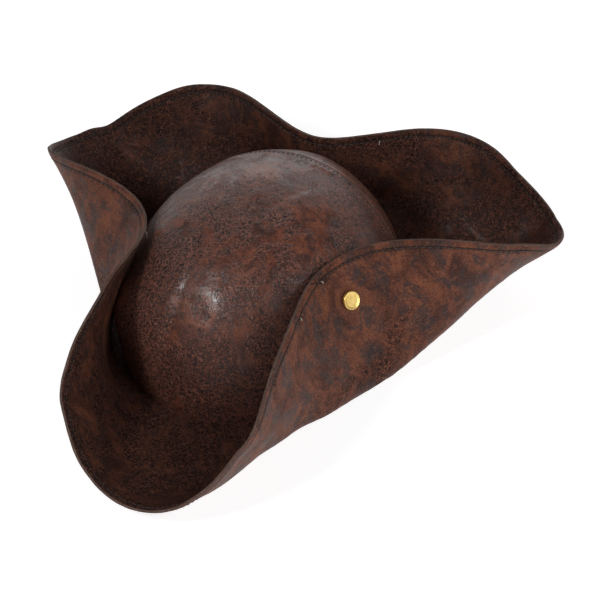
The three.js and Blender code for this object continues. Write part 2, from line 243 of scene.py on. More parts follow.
def bend_brim(angles, reaches):
    """Middle of the folded brim at angles (A) and rising shares of its width (A x R)."""
    start = opening_point(angles)
    line = flat_edge_point(angles) - start
    heading = np.radians(fold_heading(angles))
    facing = np.stack([np.sin(heading), -np.cos(heading)], -1)
    fold_start = at_station(angles, FOLD_START)[:, None]
    fold_width = at_station(angles, FOLD_WIDTH)[:, None]
    turn = np.radians(at_station(angles, FOLD_TURN))[:, None]
    flare = np.radians(at_station(angles, FLARE))[:, None]
    flare_start = fold_start + fold_width * (1 - FLARE_OVERLAP)
    edge = ((start + line) * facing).sum(-1)[:, None]
    rest = np.maximum(edge - fold_start - fold_width, MIN_REST_WIDTH)
    flare_width = rest + FLARE_OVERLAP * fold_width

    gaps = np.diff(reaches, axis=1)
    halves = (np.arange(FOLD_SUBSTEPS) + 0.5) / FOLD_SUBSTEPS
    mids = (reaches[:, :-1, None] + gaps[:, :, None] * halves).reshape(len(angles), -1)
    begin = (start * facing).sum(-1)[:, None]
    forward = (line * facing).sum(-1)[:, None]
    s = begin + forward * mids
    bend = turn * smooth((s - fold_start) / fold_width)
    bend = bend + flare * smooth((s - flare_start) / flare_width)
    aside = line - forward * facing
    share = np.repeat(gaps / FOLD_SUBSTEPS, FOLD_SUBSTEPS, axis=1)
    level = aside[:, None] + (forward * np.cos(bend))[..., None] * facing[:, None]
    steps = np.concatenate([level, (forward * np.sin(bend))[..., None]], -1) * share[..., None]
    steps = steps.reshape(len(angles), -1, FOLD_SUBSTEPS, 3).sum(2)
    first = np.concatenate([start + line * reaches[:, :1], np.zeros((len(angles), 1))], -1)
    first = first[:, None]
    points = np.concatenate([first, first + np.cumsum(steps, axis=1)], 1)
    return points + CROWN_MIDDLE


def unit(vectors):
    return vectors / np.maximum(np.linalg.norm(vectors, axis=-1, keepdims=True), 1e-12)


def brim_normals(points):
    """Upwards on the flat of a closed grid of the brim, and at the crown on its flaps."""
    outward = np.gradient(points, axis=1)
    around = np.roll(points, -1, axis=0) - np.roll(points, 1, axis=0)
    return unit(np.cross(outward, around))


def waves(x, y, length, seed):
    """Gentle uneven ripples between about -1 and 1, of about the given wavelength."""
    rng = np.random.default_rng(seed)
    total = np.zeros(np.broadcast(x, y).shape)
    for _ in range(7):
        heading = rng.uniform(0, AROUND)
        pace = AROUND / (length * rng.uniform(0.7, 1.5))
        total = total + np.sin(pace * (x * math.cos(heading) + y * math.sin(heading))
                               + rng.uniform(0, AROUND))
    return total / 3.5


def hump(x, half_width):
    return np.exp(-(x / half_width) ** 2)


def flat_coordinates(angles, reaches):
    start = opening_point(angles)[:, None]
    return start + (flat_edge_point(angles)[:, None] - start) * reaches[..., None]


def rivet_axis(angle, reach):
    """A rivet's point in the middle of the brim and its way in to the crown."""
    angles = angle + np.array([-PROBE_ANGLE, 0, PROBE_ANGLE])
    run = [*np.linspace(0, reach - PROBE_REACH, PROBE_ROWS), reach, reach + PROBE_REACH]
    points = bend_brim(angles, np.tile(run, (3, 1)))
    outward = points[1, -1] - points[1, -3]
    around = points[2, -2] - points[0, -2]
    return points[1, -2], unit(np.cross(outward, around))


RIVETS = {
    "right": rivet_axis(*RIGHT_RIVET),
    "left": rivet_axis(*LEFT_RIVET),
    "back": rivet_axis(*BACK_RIVET),
}


def flatten_at_rivets(points):
    """Draws the brim's middle surface flat round each rivet."""
    span = RIVET_PRESS_OUTER - RIVET_PRESS_INNER
    for centre, inward in RIVETS.values():
        offset = points - centre
        height = offset @ inward
        aside = np.linalg.norm(offset - height[..., None] * inward, axis=-1)
        near = smooth((RIVET_PRESS_OUTER - aside) / span) * (np.abs(height) < RIVET_PRESS_OUTER)
        points = points - (near * height)[..., None] * inward
    return points


def brim_surface(angles, edges):
    """Middle points and normals of the brim at distances in from its edge, falling to 0."""
    width = flat_width(angles)[:, None]
    reaches = 1 - edges / width
    points = flatten_at_rivets(bend_brim(angles, reaches))
    flat = flat_coordinates(angles, reaches)
    normals = brim_normals(points)
    x, y = flat[..., 0], flat[..., 1]
    free = 1 - smooth((edges - FREE_START) / FREE_WIDTH)
    held = HELD_SHARE + (1 - HELD_SHARE) * free
    lift = BRIM_BROAD[0] * waves(x, y, *BRIM_BROAD[1:]) * held
    lift = lift + BRIM_SMALL[0] * waves(x, y, *BRIM_SMALL[1:]) * free
    return points + lift[..., None] * normals, normals


def edge_distances(angles, inner_rows, edge_rows):
    """Rows of a brim grid: evenly spaced from the opening, then at fixed places near the edge."""
    inner = np.linspace(0, 1, inner_rows, endpoint=False) ** ROW_SPREAD
    width = flat_width(angles)[:, None]
    inside = width + BRIM_TUCK - inner[None] * (width + BRIM_TUCK - edge_rows[0])
    return np.concatenate([inside, np.tile(edge_rows, (len(angles), 1))], 1)


def sewn_relief(phase, edge, seed):
    """How far the leather's face stands off its flat level, near its stitches and its edge."""
    away = edge - STITCH_INSET
    hole = np.cos(AROUND * phase)
    uneven = 1 + 0.35 * waves(phase, 0 * edge, 9, seed)
    groove = -GROOVE[0] * hump(away, GROOVE[1])
    pucker = -PUCKER[0] * hole * uneven * hump(away, PUCKER[1])
    puff = sum(height * hump(edge - place, half_width)
               for height, half_width, place in (OUTER_PUFF, INNER_PUFF))
    rim = -RIM[0] * hump(edge, RIM[1])
    return groove + pucker + puff + rim


def brim_face(angles, edges, side, phase, seed):
    """The leather's visible face, side 1 above and -1 below, with its relief."""
    points, normals = brim_surface(angles, edges)
    relief = sewn_relief(phase[:, None], edges, seed)
    flat = flat_coordinates(angles, 1 - edges / flat_width(angles)[:, None])
    height, length = FACE_CREASE
    relief = relief + height * waves(flat[..., 0], flat[..., 1], length, seed + 1)
    return points + (side * (BRIM_HALF + relief))[..., None] * normals, normals


# ------------ meshes

def ring_quads(columns, rows, first=0):
    """Faces of a closed ring of columns, each a run of rows, that face outward x around."""
    i = np.arange(columns)[:, None]
    j = np.arange(rows - 1)[None]
    here = first + i * rows + j
    there = first + (i + 1) % columns * rows + j
    return np.stack([here, here + 1, there + 1, there], -1).reshape(-1, 4)


def wall_quads(near, far):
    """Faces between two closed loops of vertices."""
    return np.stack([near, far, np.roll(far, -1), np.roll(near, -1)], -1)


def closed_sheet(face, back, ring=True):
    """Points and faces of the body between two grids, which form a ring or an open strip."""
    columns, rows = face.shape[:2]
    index = np.arange(columns * rows).reshape(columns, rows)
    front = ring_quads(columns, rows)
    loops = [index[:, -1], index[::-1, 0]]
    if not ring:
        front = front[:(columns - 1) * (rows - 1)]
        loops = [np.concatenate([index[:, -1], index[-1, -2::-1], index[-2::-1, 0],
                                 index[0, 1:-1]])]
    walls = [wall_quads(loop, loop + index.size) for loop in loops]
    points = np.concatenate([face.reshape(-1, 3), back.reshape(-1, 3)])
    return points, np.concatenate([front, front[:, ::-1] + index.size, *walls])


def add_piece(name, points, faces, materials, face_slots=None, sharp=35):
    mesh = bpy.data.meshes.new(name)
    mesh.from_pydata((np.asarray(points) * MM).tolist(), [], [list(map(int, f)) for f in faces])
    mesh.update()
    for material in materials:
        mesh.materials.append(material)
    if face_slots is not None:
        mesh.polygons.foreach_set("material_index", np.asarray(face_slots, dtype=np.int32))
    mesh.polygons.foreach_set("use_smooth", np.ones(len(mesh.polygons), dtype=bool))
    mesh.set_sharp_from_angle(angle=math.radians(sharp))
    piece = bpy.data.objects.new(name, mesh)
    bpy.context.scene.collection.objects.link(piece)
    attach(piece, "root")
    return piece


def brim_leather(name, side, material, raw_edge, seed):
    """One leather layer of the brim: a detailed face, a plain back, and a raw cut edge."""
    columns = STITCHES * COLUMNS_PER_STITCH
    angles = np.arange(columns) * 360 / columns
    phase = np.arange(columns) / COLUMNS_PER_STITCH
    edges = edge_distances(angles, INNER_ROWS, EDGE_ROWS)
    rows = edges.shape[1]
    face = brim_face(angles, edges, side, phase, seed)[0]
    rng = np.random.default_rng(seed)

    keep = [*range(INNER_ROWS + 1), rows - 10, rows - 4, rows - 1]
    back_level = STIFFENER / 2 + BACK_CLEARANCE
    back_edges = edges[:, keep]
    middle, back_normals = brim_surface(angles, edges)
    squeeze = BACK_SQUEEZE * hump(back_edges, RIM[1])
    back = middle[:, keep] + (side * (back_level - squeeze))[..., None] * back_normals[:, keep]

    outward = unit(face[:, -1] - face[:, -3])
    rim_rows = 2
    rim = []
    for k in range(rim_rows):
        share = (k + 1) / (rim_rows + 1)
        fray = rng.uniform(*FRAY, columns)[:, None]
        rim.append(face[:, -1] * (1 - share) + back[:, -1] * share + fray * outward)

    points = np.concatenate([face.reshape(-1, 3), back.reshape(-1, 3), *rim])
    face_end = columns * rows
    back_rows = len(keep)
    back_end = face_end + columns * back_rows
    column = np.arange(columns)
    loops = [column * rows + rows - 1]
    loops += [back_end + k * columns + column for k in range(rim_rows)]
    loops += [face_end + column * back_rows + back_rows - 1]
    face_quads = ring_quads(columns, rows)
    back_quads = ring_quads(columns, back_rows, face_end)[:, ::-1]
    rim_quads = np.concatenate([wall_quads(a, b) for a, b in zip(loops, loops[1:])])
    inner_quads = wall_quads(face_end + column * back_rows, column * rows)
    faces = np.concatenate([face_quads, back_quads, rim_quads, inner_quads])
    slots = np.concatenate([np.zeros(len(face_quads) + len(back_quads), int),
                            np.ones(len(rim_quads) + len(inner_quads), int)])
    if side < 0:
        faces = faces[:, ::-1]
    piece = add_piece(name, points, faces, [material, raw_edge], slots)
    inset = np.concatenate([edges.ravel(), back_edges.ravel(), np.zeros(rim_rows * columns)])
    attribute = piece.data.attributes.new("edge_distance", "FLOAT", "POINT")
    attribute.data.foreach_set("value", inset.astype(np.float32))
    return piece


def brim_stiffening(material):
    angles = np.arange(STIFFENING_COLUMNS) * 360 / STIFFENING_COLUMNS
    edges = edge_distances(angles, INNER_ROWS, STIFFENING_ROWS)
    middle, normals = brim_surface(angles, edges)
    half = (STIFFENER / 2 - BACK_SQUEEZE * hump(edges, RIM[1]))[..., None] * normals
    points, faces = closed_sheet(middle + half, middle - half)
    return add_piece("brim_stiffening", points, faces, [material])


def tubes(spines, upward, across, radii, sides):
    """Points and faces of closed tubes round spines (N x S x 3), with a radius per section."""
    turns = AROUND * np.arange(sides) / sides
    ring = (np.cos(turns)[:, None] * upward[..., None, :]
            + np.sin(turns)[:, None] * across[..., None, :])
    skin = spines[:, :, None] + ring * radii[:, None, None]
    count, sections = spines.shape[:2]
    per = sections * sides
    first = np.arange(count)[:, None, None] * per
    i = first + np.arange(sections - 1)[None, :, None] * sides
    j = np.arange(sides)[None, None]
    k = (j + 1) % sides
    walls = np.stack([i + j, i + sides + j, i + sides + k, i + k], -1).reshape(-1, 4)
    starts = first[:, 0] + j[0]
    ends = first[:, 0] + per - sides + j[0, :, ::-1]
    return skin.reshape(-1, 3), [*walls.tolist(), *starts.tolist(), *ends.tolist()]


def stitch_row(name, centres, along, upward, length, material):
    """Separate stitches, each a short thread that dips into its hole at either end."""
    sections = np.array([-1, -0.86, -0.5, 0, 0.5, 0.86, 1])
    radii = THREAD_RADIUS * np.array([0.55, 0.9, 1, 1.02, 1, 0.9, 0.55])
    rise = THREAD_RADIUS * (0.75 - 1.9 * np.abs(sections) ** 3)
    across = unit(np.cross(upward, along))
    spines = (centres[:, None] + sections[None, :, None] * length[:, None, None] / 2
              * along[:, None] + rise[None, :, None] * upward[:, None])
    points, faces = tubes(spines, upward[:, None], across[:, None], radii, sides=7)
    return add_piece(name, points, faces, [material], sharp=80)


def brim_stitches(name, side, material, seed):
    angles = (np.arange(STITCHES) + 0.5) * 360 / STITCHES
    edges = edge_distances(angles, INNER_ROWS, STITCH_ROWS)
    face, normals = brim_face(angles, edges, side, np.arange(STITCHES) + 0.5, seed)
    centres = face[:, STITCH_ROW]
    along = unit(np.roll(centres, -1, axis=0) - np.roll(centres, 1, axis=0))
    pitch = np.linalg.norm(np.roll(centres, -1, axis=0) - centres, axis=1)
    upward = side * normals[:, STITCH_ROW]
    rng = np.random.default_rng(seed)
    outward = np.cross(along, upward)
    along = unit(along + rng.normal(0, STITCH_STRAY, (STITCHES, 1)) * outward)
    length = pitch * rng.uniform(*STITCH_SHARES, STITCHES)
    return stitch_row(name, centres, along, upward, length, material)


def loose_ends(material):
    """Pale ends of thread that hang from a few stitches of the brim's upper and under rows."""
    share = np.linspace(0, 1, 9)[:, None]
    curl = LOOSE_CURL * np.sin(share * math.pi * 0.6)
    spines = []
    for angle, side, length, drift in LOOSE_ENDS:
        angles = angle + np.array([-0.4, 0, 0.4])
        middle, normals = brim_surface(angles, edge_distances(angles, INNER_ROWS, STITCH_ROWS))
        outward = side * normals[1, STITCH_ROW]
        around = unit(middle[2, STITCH_ROW] - middle[0, STITCH_ROW])
        root = middle[1, STITCH_ROW] + outward * (BRIM_HALF - LOOSE_RADIUS)
        hang = np.array([0, 0, 1]) * length * share ** 1.5
        spines.append(root + outward * curl + around * drift * share - hang)
    spines = np.array(spines)
    along = unit(np.gradient(spines, axis=1))
    across = unit(np.cross([0.3, 0.5, 0.81], along))
    radii = np.full(len(share), LOOSE_RADIUS)
    points, faces = tubes(spines, np.cross(along, across), across, radii, sides=6)
    return add_piece("loose_thread_ends", points, faces, [material])


# ------------ the crown

def onto_dome(points, depth):
    """Moves points straight out from the crown's middle onto its face, a given depth under it."""
    local = points - CROWN_MIDDLE
    lean = CROWN_LEAN / CROWN_HEIGHT
    local[:, 1] -= lean * local[:, 2]
    size = np.array([HEAD_HALF_WIDTH - SEAM_GAP - depth, HEAD_HALF_LENGTH - SEAM_GAP - depth,
                     CROWN_HEIGHT - depth])
    scaled = local / size
    level = np.hypot(scaled[:, 0], scaled[:, 1]) ** DOME_POWER
    level = level + np.maximum(scaled[:, 2], 0) ** DOME_POWER
    local = local / level[:, None] ** (1 / DOME_POWER)
    local[:, 1] += lean * local[:, 2]
    return local + CROWN_MIDDLE


def half_ball(depth, fineness, front=None):
    """An even mesh of the whole dome, or of its panel in front of or behind the back seam."""
    shape = bmesh.new()
    bmesh.ops.create_icosphere(shape, subdivisions=fineness, radius=1)
    size = (HEAD_HALF_WIDTH, HEAD_HALF_LENGTH, CROWN_HEIGHT)
    bmesh.ops.scale(shape, vec=size, verts=shape.verts)
    cut(shape, Vector((0, 0, 0)), Vector((0, 0, -1)), clear=True)
    bmesh.ops.translate(shape, vec=CROWN_MIDDLE, verts=shape.verts)
    project(shape, depth)
    if front is not None:
        toward_back = Vector((0, 1, -BACK_SEAM_SLOPE)).normalized()
        seam = Vector((0, CROWN_Y + BACK_SEAM_Y, 0))
        side = -1 if front else 1
        for offset in SEAM_CUTS:
            cut(shape, seam + toward_back * offset * side, toward_back, clear=False)
        cut(shape, seam + toward_back * SEAM_HALF_GAP * side, -toward_back * side, clear=True)
        project(shape, depth)
    return shape


def cut(shape, place, normal, clear):
    geometry = list(shape.verts) + list(shape.edges) + list(shape.faces)
    bmesh.ops.bisect_plane(shape, geom=geometry, plane_co=place, plane_no=normal,
                           clear_outer=clear, dist=1e-4)


def project(shape, depth):
    points = onto_dome(np.array([v.co for v in shape.verts]), depth)
    for vertex, point in zip(shape.verts, points):
        vertex.co = point


def seam_distance(points):
    """Distance behind the crown's back seam, negative in front of it."""
    slant = math.hypot(1, BACK_SEAM_SLOPE)
    return (points[:, 1] - CROWN_Y - BACK_SEAM_Y - BACK_SEAM_SLOPE * points[:, 2]) / slant


def crown_relief(points):
    """Height of the crown's leather over its smooth dome."""
    away = np.abs(seam_distance(points))
    allowance = SEAM_RAISE * (1 - smooth((away - SEAM_ALLOWANCE) / SEAM_EASE))
    row = seam_distance(points) + SEAM_STITCH_OFFSET
    seam = allowance - SEAM_FOLD[0] * hump(away, SEAM_FOLD[1])
    seam = seam - SEAM_GROOVE[0] * hump(row, SEAM_GROOVE[1])
    x, y, z = points.T
    soft = waves(x + 0.4 * z, y - 0.3 * z, *CROWN_BROAD[1:]) * CROWN_BROAD[0]
    fine = waves(x + 0.7 * z, y + 0.5 * z, *CROWN_SMALL[1:]) * CROWN_SMALL[0]
    low = smooth((FOOT_HEIGHT - z) / FOOT_HEIGHT)
    return seam + soft * (1 - low) + fine - FOOT_TUCK * low ** 2


def thicken(shape, displaced, inner, name, materials, sharp=35):
    """Closes an open sheet of faces into a body, from its displaced face to its inner one."""
    count = len(displaced)
    outside = [[v.index for v in f.verts] for f in shape.faces]
    inside = [[i + count for i in reversed(f)] for f in outside]
    walls = []
    for edge in shape.edges:
        if len(edge.link_faces) == 1:
            loop = edge.link_loops[0]
            a = loop.vert.index
            b = loop.link_loop_next.vert.index
            walls.append([b, a, a + count, b + count])
    slots = [0] * (len(outside) + len(inside)) + [len(materials) - 1] * len(walls)
    points = np.concatenate([displaced, inner])
    return add_piece(name, points, outside + inside + walls, materials, slots, sharp)


def shell_normals(points):
    """Directions out of the leaning dome at points on it."""
    local = points - CROWN_MIDDLE
    lean = CROWN_LEAN / CROWN_HEIGHT
    x, z = local[:, 0], np.maximum(local[:, 2], 0)
    y = local[:, 1] - lean * z
    width, length = HEAD_HALF_WIDTH, HEAD_HALF_LENGTH
    across = np.hypot(x / width, y / length)
    slope = across ** (DOME_POWER - 2)
    gradient = np.stack([slope * x / width ** 2, slope * y / length ** 2,
                         (z / CROWN_HEIGHT) ** (DOME_POWER - 1) / CROWN_HEIGHT], -1)
    gradient[:, 2] -= lean * gradient[:, 1]
    return unit(gradient)


def indexed(shape):
    shape.verts.ensure_lookup_table()
    shape.verts.index_update()
    shape.normal_update()
    return np.array([v.co for v in shape.verts])


def drawn_to_rivets(points, depth):
    """Draws a layer of the crown out round each rivet, until it lies flat against the flap."""
    for centre, inward in RIVETS.values():
        offset = points - centre
        along = offset @ inward
        aside = np.linalg.norm(offset - along[:, None] * inward, axis=1)
        beyond = np.maximum(aside - RIVET_PRESS_INNER, 0) / RIVET_DRAW
        pull = (along - BRIM_HALF - LAYER_GAP - depth) / (1 + beyond ** 2) ** 2
        points = points - (pull * (along < RIVET_REACH))[:, None] * inward
    return points


def crown_panel(name, front, material, raw_edge):
    shape = half_ball(0, DOME_FINENESS, front)
    points = indexed(shape)
    normals = shell_normals(points)
    face = drawn_to_rivets(points + crown_relief(points)[:, None] * normals, 0)
    inner = drawn_to_rivets(points - LEATHER * normals, LEATHER)
    skirt = points[:, 2] < BRIM_HALF + 1e-3
    face[skirt, 2] = SKIRT_LEVEL
    inner[skirt, 2] = face[skirt, 2]
    piece = thicken(shape, face, inner, name, [material, raw_edge])
    shape.free()
    return piece


def plain_dome(name, depth, thickness, fineness, material, relief=None):
    shape = half_ball(depth, fineness)
    points = indexed(shape)
    normals = shell_normals(points)
    inner = points - thickness * normals
    shift = relief(points)[:, None] * normals if relief else 0
    points = drawn_to_rivets(points - shift, depth)
    inner = drawn_to_rivets(inner - shift, depth + thickness)
    piece = thicken(shape, points, inner, name, [material], sharp=50)
    shape.free()
    return piece


def lining_folds(points):
    """How far the loose lining hangs in from the stiffening: gathers fanning from its top."""
    angle = np.arctan2(points[:, 0], points[:, 1] - CROWN_Y)
    height = np.clip(points[:, 2] / CROWN_HEIGHT, 0, 1)
    fan = np.sin(angle * 4) ** 2
    loose = height * (1 - height) * 4
    creases = waves(points[:, 0], points[:, 1] + points[:, 2], 22, 31)
    seams = 0.9 * hump(np.abs(np.sin(angle * 1.5)), 0.03)
    return 0.5 + loose * (0.7 * fan + 0.45 * creases) + 0.4 * seams * loose


def sheet_band(name, angles, depth, thickness, high, material, bulge):
    """A band inside the crown, from near its foot up to a height."""
    closed = abs(angles[-1] - angles[0]) > 359
    a = np.radians(angles)[:, None]
    heights = np.linspace(BAND_LOW, high, BAND_ROWS)[None]

    def surface(inset):
        up = np.maximum(heights - BRIM_HALF, 0) / CROWN_HEIGHT
        across = (1 - up ** DOME_POWER) ** (1 / DOME_POWER) + 0 * a
        x = (HEAD_HALF_WIDTH - SEAM_GAP - inset) * across * np.sin(a)
        y = (HEAD_HALF_LENGTH - SEAM_GAP - inset) * across * -np.cos(a)
        y = y + CROWN_Y + CROWN_LEAN * up
        return np.stack([x, y, heights + 0 * a], -1)

    share = np.linspace(0, 1, BAND_ROWS)[None]
    swell = bulge * np.sin(share * math.pi) + 0.25 * waves(a * 90, heights, 30, 41) * share
    outer = surface(depth)
    inner = surface(depth + thickness)
    inward = unit(surface(depth + 5) - surface(depth))
    shift = swell[..., None] * inward
    points, faces = closed_sheet(inner + shift, outer + shift, closed)
    return add_piece(name, points, faces, [material], sharp=50)


def crown_stitches(material):
    """Topstitching just ahead of the crown's back seam."""
    margin, samples, halvings = 0.03, 400, 40
    turns = np.linspace(margin, math.pi - margin, samples)
    slant = math.hypot(1, BACK_SEAM_SLOPE)
    offset = BACK_SEAM_Y - SEAM_STITCH_OFFSET * slant
    z = CROWN_HEIGHT * np.sin(turns)
    guess = np.stack([HEAD_HALF_WIDTH * np.cos(turns),
                      CROWN_Y + offset + BACK_SEAM_SLOPE * z, z + BRIM_HALF], -1)
    origin = np.array([0, CROWN_Y + offset + BACK_SEAM_SLOPE * BRIM_HALF, BRIM_HALF])
    low, high = np.zeros(len(turns)), np.full(len(turns), 2.0)
    for _ in range(halvings):
        middle = (low + high) / 2
        tried = origin + (guess - origin) * middle[:, None]
        outside = np.linalg.norm(tried - [0, CROWN_Y, 0], axis=1) > np.linalg.norm(
            onto_dome(tried, 0) - [0, CROWN_Y, 0], axis=1)
        high = np.where(outside, middle, high)
        low = np.where(outside, low, middle)
    line = origin + (guess - origin) * low[:, None]
    run = np.concatenate([[0], np.cumsum(np.linalg.norm(np.diff(line, axis=0), axis=1))])
    places = np.arange(SEAM_STITCH_PITCH, run[-1] - SEAM_STITCH_PITCH, SEAM_STITCH_PITCH)
    centres = np.stack([np.interp(places, run, line[:, k]) for k in range(3)], -1)
    normals = shell_normals(centres)
    centres = drawn_to_rivets(centres + crown_relief(centres)[:, None] * normals, 0)
    along = unit(np.gradient(centres, axis=0))
    length = np.full(len(centres), SEAM_STITCH_PITCH * SEAM_STITCH_SHARE)
    return stitch_row("crown_stitching", centres, along, normals, length, material)


# ------------ rivets

def turned_piece(name, profile, place, direction, material):
    """A brass piece turned on its axis; its profile runs from the axis out and back to it."""
    turns = AROUND * np.arange(RIVET_SIDES) / RIVET_SIDES
    x_axis = unit(np.cross(direction, [0.31, 0.2, 0.93]))
    y_axis = np.cross(direction, x_axis)
    spokes = np.cos(turns)[:, None] * x_axis + np.sin(turns)[:, None] * y_axis
    radii, heights = np.array(profile)[1:-1].T
    rings = place + spokes[:, None] * radii[:, None] + heights[:, None] * direction
    ends = [place + profile[k][1] * direction for k in (0, -1)]
    count = len(radii)
    near = np.arange(RIVET_SIDES) * count
    far = np.roll(near, -1)
    top, bottom = rings[..., 0].size + np.zeros((2, RIVET_SIDES), int) + [[0], [1]]
    faces = [*ring_quads(RIVET_SIDES, count), *np.stack([top, near, far], -1),
             *np.stack([far + count - 1, near + count - 1, bottom], -1)]
    return add_piece(name, np.concatenate([rings.reshape(-1, 3), ends]), faces,
                     [material], sharp=30)


def cap_profile(radius, height, post_radius, post_length):
    """A shallow cap with a rolled rim and a flatter middle, on its post."""
    outline = [(0, height * 0.86)]
    for share in (0.15, 0.3, 0.45, 0.6, 0.7):
        outline.append((radius * share, height * (0.86 + 0.015 * share)))
    for share in (0.76, 0.82, 0.87):
        outline.append((radius * share, height * (0.87 + 0.9 * (share - 0.7))))
    for step in range(9):
        a = math.pi / 2 * (1 - step / 8)
        outline.append((radius * (0.87 + 0.13 * math.cos(a)), height * (0.3 + 0.72 * math.sin(a))))
    outline += [(radius, height * 0.12), (radius * 0.97, 0), (post_radius, 0)]
    outline += [(post_radius, -post_length), (0, -post_length)]
    return outline


def add_rivet(side, centre, inward, material):
    seat = BRIM_HALF + CAP_GAP
    depth = BRIM_HALF + LAYER_GAP + CROWN_THICKNESS + INNER_CAP_GAP
    outline = cap_profile(CAP_RADIUS, CAP_HEIGHT, POST_RADIUS, seat + depth)
    cap = turned_piece(f"rivet_{side}", outline, centre - seat * inward, -inward, material)
    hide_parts(f"rivet_cap_{side}")
    outline = cap_profile(INNER_CAP_RADIUS, INNER_CAP_HEIGHT, INNER_POST_RADIUS, INNER_POST_LENGTH)
    back = turned_piece(f"rivet_washer_{side}", outline, centre + depth * inward, inward, material)
    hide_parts(f"rivet_back_{side}")


# ------------ materials

# Colours of the leather
WORN_BROWNS = [(0.38, (0.052, 0.020, 0.014)), (0.47, (0.100, 0.033, 0.019)),
               (0.55, (0.145, 0.048, 0.027)), (0.64, (0.185, 0.063, 0.030))]
SLATE = (0.034, 0.026, 0.026, 1)
RUBBED = (0.19, 0.075, 0.045, 1)
PIT = (0.011, 0.006, 0.006, 1)
CRACKLE_LINE = (0.24, 0.085, 0.05, 1)
SPECKLE = (0.016, 0.010, 0.010, 1)
GLINT = (0.28, 0.12, 0.08, 1)
# painted shade, laid along the brim's row of stitches
PAINTED_STITCH_SHADE = (0.010, 0.007, 0.007, 1)


class Nodes:
    """A short way to write a material's nodes."""

    def __init__(self, name):
        self.material = bpy.data.materials.new(name)
        self.material.use_nodes = True
        self.tree = self.material.node_tree
        self.shader = self.tree.nodes["Principled BSDF"]

    def add(self, kind, inputs=None, **settings):
        node = self.tree.nodes.new(kind)
        for key, value in settings.items():
            setattr(node, key, value)
        for key, value in (inputs or {}).items():
            self.put(node.inputs[key], value)
        return node

    def put(self, socket, value):
        if isinstance(value, bpy.types.NodeSocket):
            self.tree.links.new(value, socket)
        else:
            socket.default_value = value

    def place(self, stretch=(1, 1, 1)):
        """Points of the object in metres."""
        here = self.add("ShaderNodeTexCoord").outputs["Object"]
        return self.add("ShaderNodeMapping", {"Vector": here, "Scale": stretch}).outputs[0]

    def noise(self, place, scale, detail=3.0, roughness=0.5, distortion=0.0):
        return self.add("ShaderNodeTexNoise", {
            "Vector": place, "Scale": scale, "Detail": detail, "Roughness": roughness,
            "Distortion": distortion}).outputs["Fac"]

    def voronoi(self, place, scale, feature="F1"):
        return self.add("ShaderNodeTexVoronoi", {"Vector": place, "Scale": scale},
                        feature=feature).outputs["Distance"]

    def wave(self, place, scale, distortion, direction):
        return self.add("ShaderNodeTexWave", {
            "Vector": place, "Scale": scale, "Distortion": distortion},
            bands_direction=direction).outputs["Fac"]

    def span(self, value, low, high, to_low=0.0, to_high=1.0):
        return self.add("ShaderNodeMapRange", {
            "Value": value, "From Min": low, "From Max": high, "To Min": to_low,
            "To Max": to_high}, interpolation_type="SMOOTHSTEP").outputs["Result"]

    def math(self, operation, first, second=0.0):
        return self.add("ShaderNodeMath", {0: first, 1: second}, operation=operation).outputs[0]

    def mix(self, share, first, second, blend="MIX"):
        return self.add("ShaderNodeMix", {0: share, 6: first, 7: second}, data_type="RGBA",
                        blend_type=blend).outputs[2]

    def ramp(self, value, stops):
        node = self.add("ShaderNodeValToRGB")
        self.put(node.inputs[0], value)
        elements = node.color_ramp.elements
        while len(elements) < len(stops):
            elements.new(0.5)
        for element, (position, colour) in zip(elements, stops):
            element.position = position
            element.color = (*colour, 1)
        return node.outputs[0]

    def bump(self, height, depth, strength=1.0, normal=None):
        inputs = {"Height": height, "Strength": strength, "Distance": depth}
        if normal is not None:
            inputs["Normal"] = normal
        return self.add("ShaderNodeBump", inputs).outputs["Normal"]

    def finish(self, colour, roughness, normal=None, **constants):
        self.put(self.shader.inputs["Base Color"], colour)
        self.put(self.shader.inputs["Roughness"], roughness)
        if normal is not None:
            self.put(self.shader.inputs["Normal"], normal)
        for key, value in constants.items():
            self.shader.inputs[key.replace("_", " ")].default_value = value
        return self.material


def warped(n, place, scale, distance):
    """Places moved about by a noise, so that what is drawn at them runs crooked."""
    noise = n.add("ShaderNodeTexNoise", {"Vector": place, "Scale": scale, "Detail": 2.0})
    centred = n.add("ShaderNodeVectorMath", {0: noise.outputs["Color"], 1: (0.5, 0.5, 0.5)},
                    operation="SUBTRACT")
    pull = n.add("ShaderNodeVectorMath", {0: centred.outputs[0], "Scale": distance},
                 operation="SCALE")
    moved = n.add("ShaderNodeVectorMath", {0: place, 1: pull.outputs[0]}, operation="ADD")
    return moved.outputs[0]


def ridges(n, place, scale, width):
    """Thin branching lines where a noise passes through its middle level."""
    level = n.noise(place, scale, 2.0, 0.55, 0.3)
    away = n.math("ABSOLUTE", n.math("SUBTRACT", level, 0.5))
    return n.span(away, 0.0, width, 1.0, 0.0)


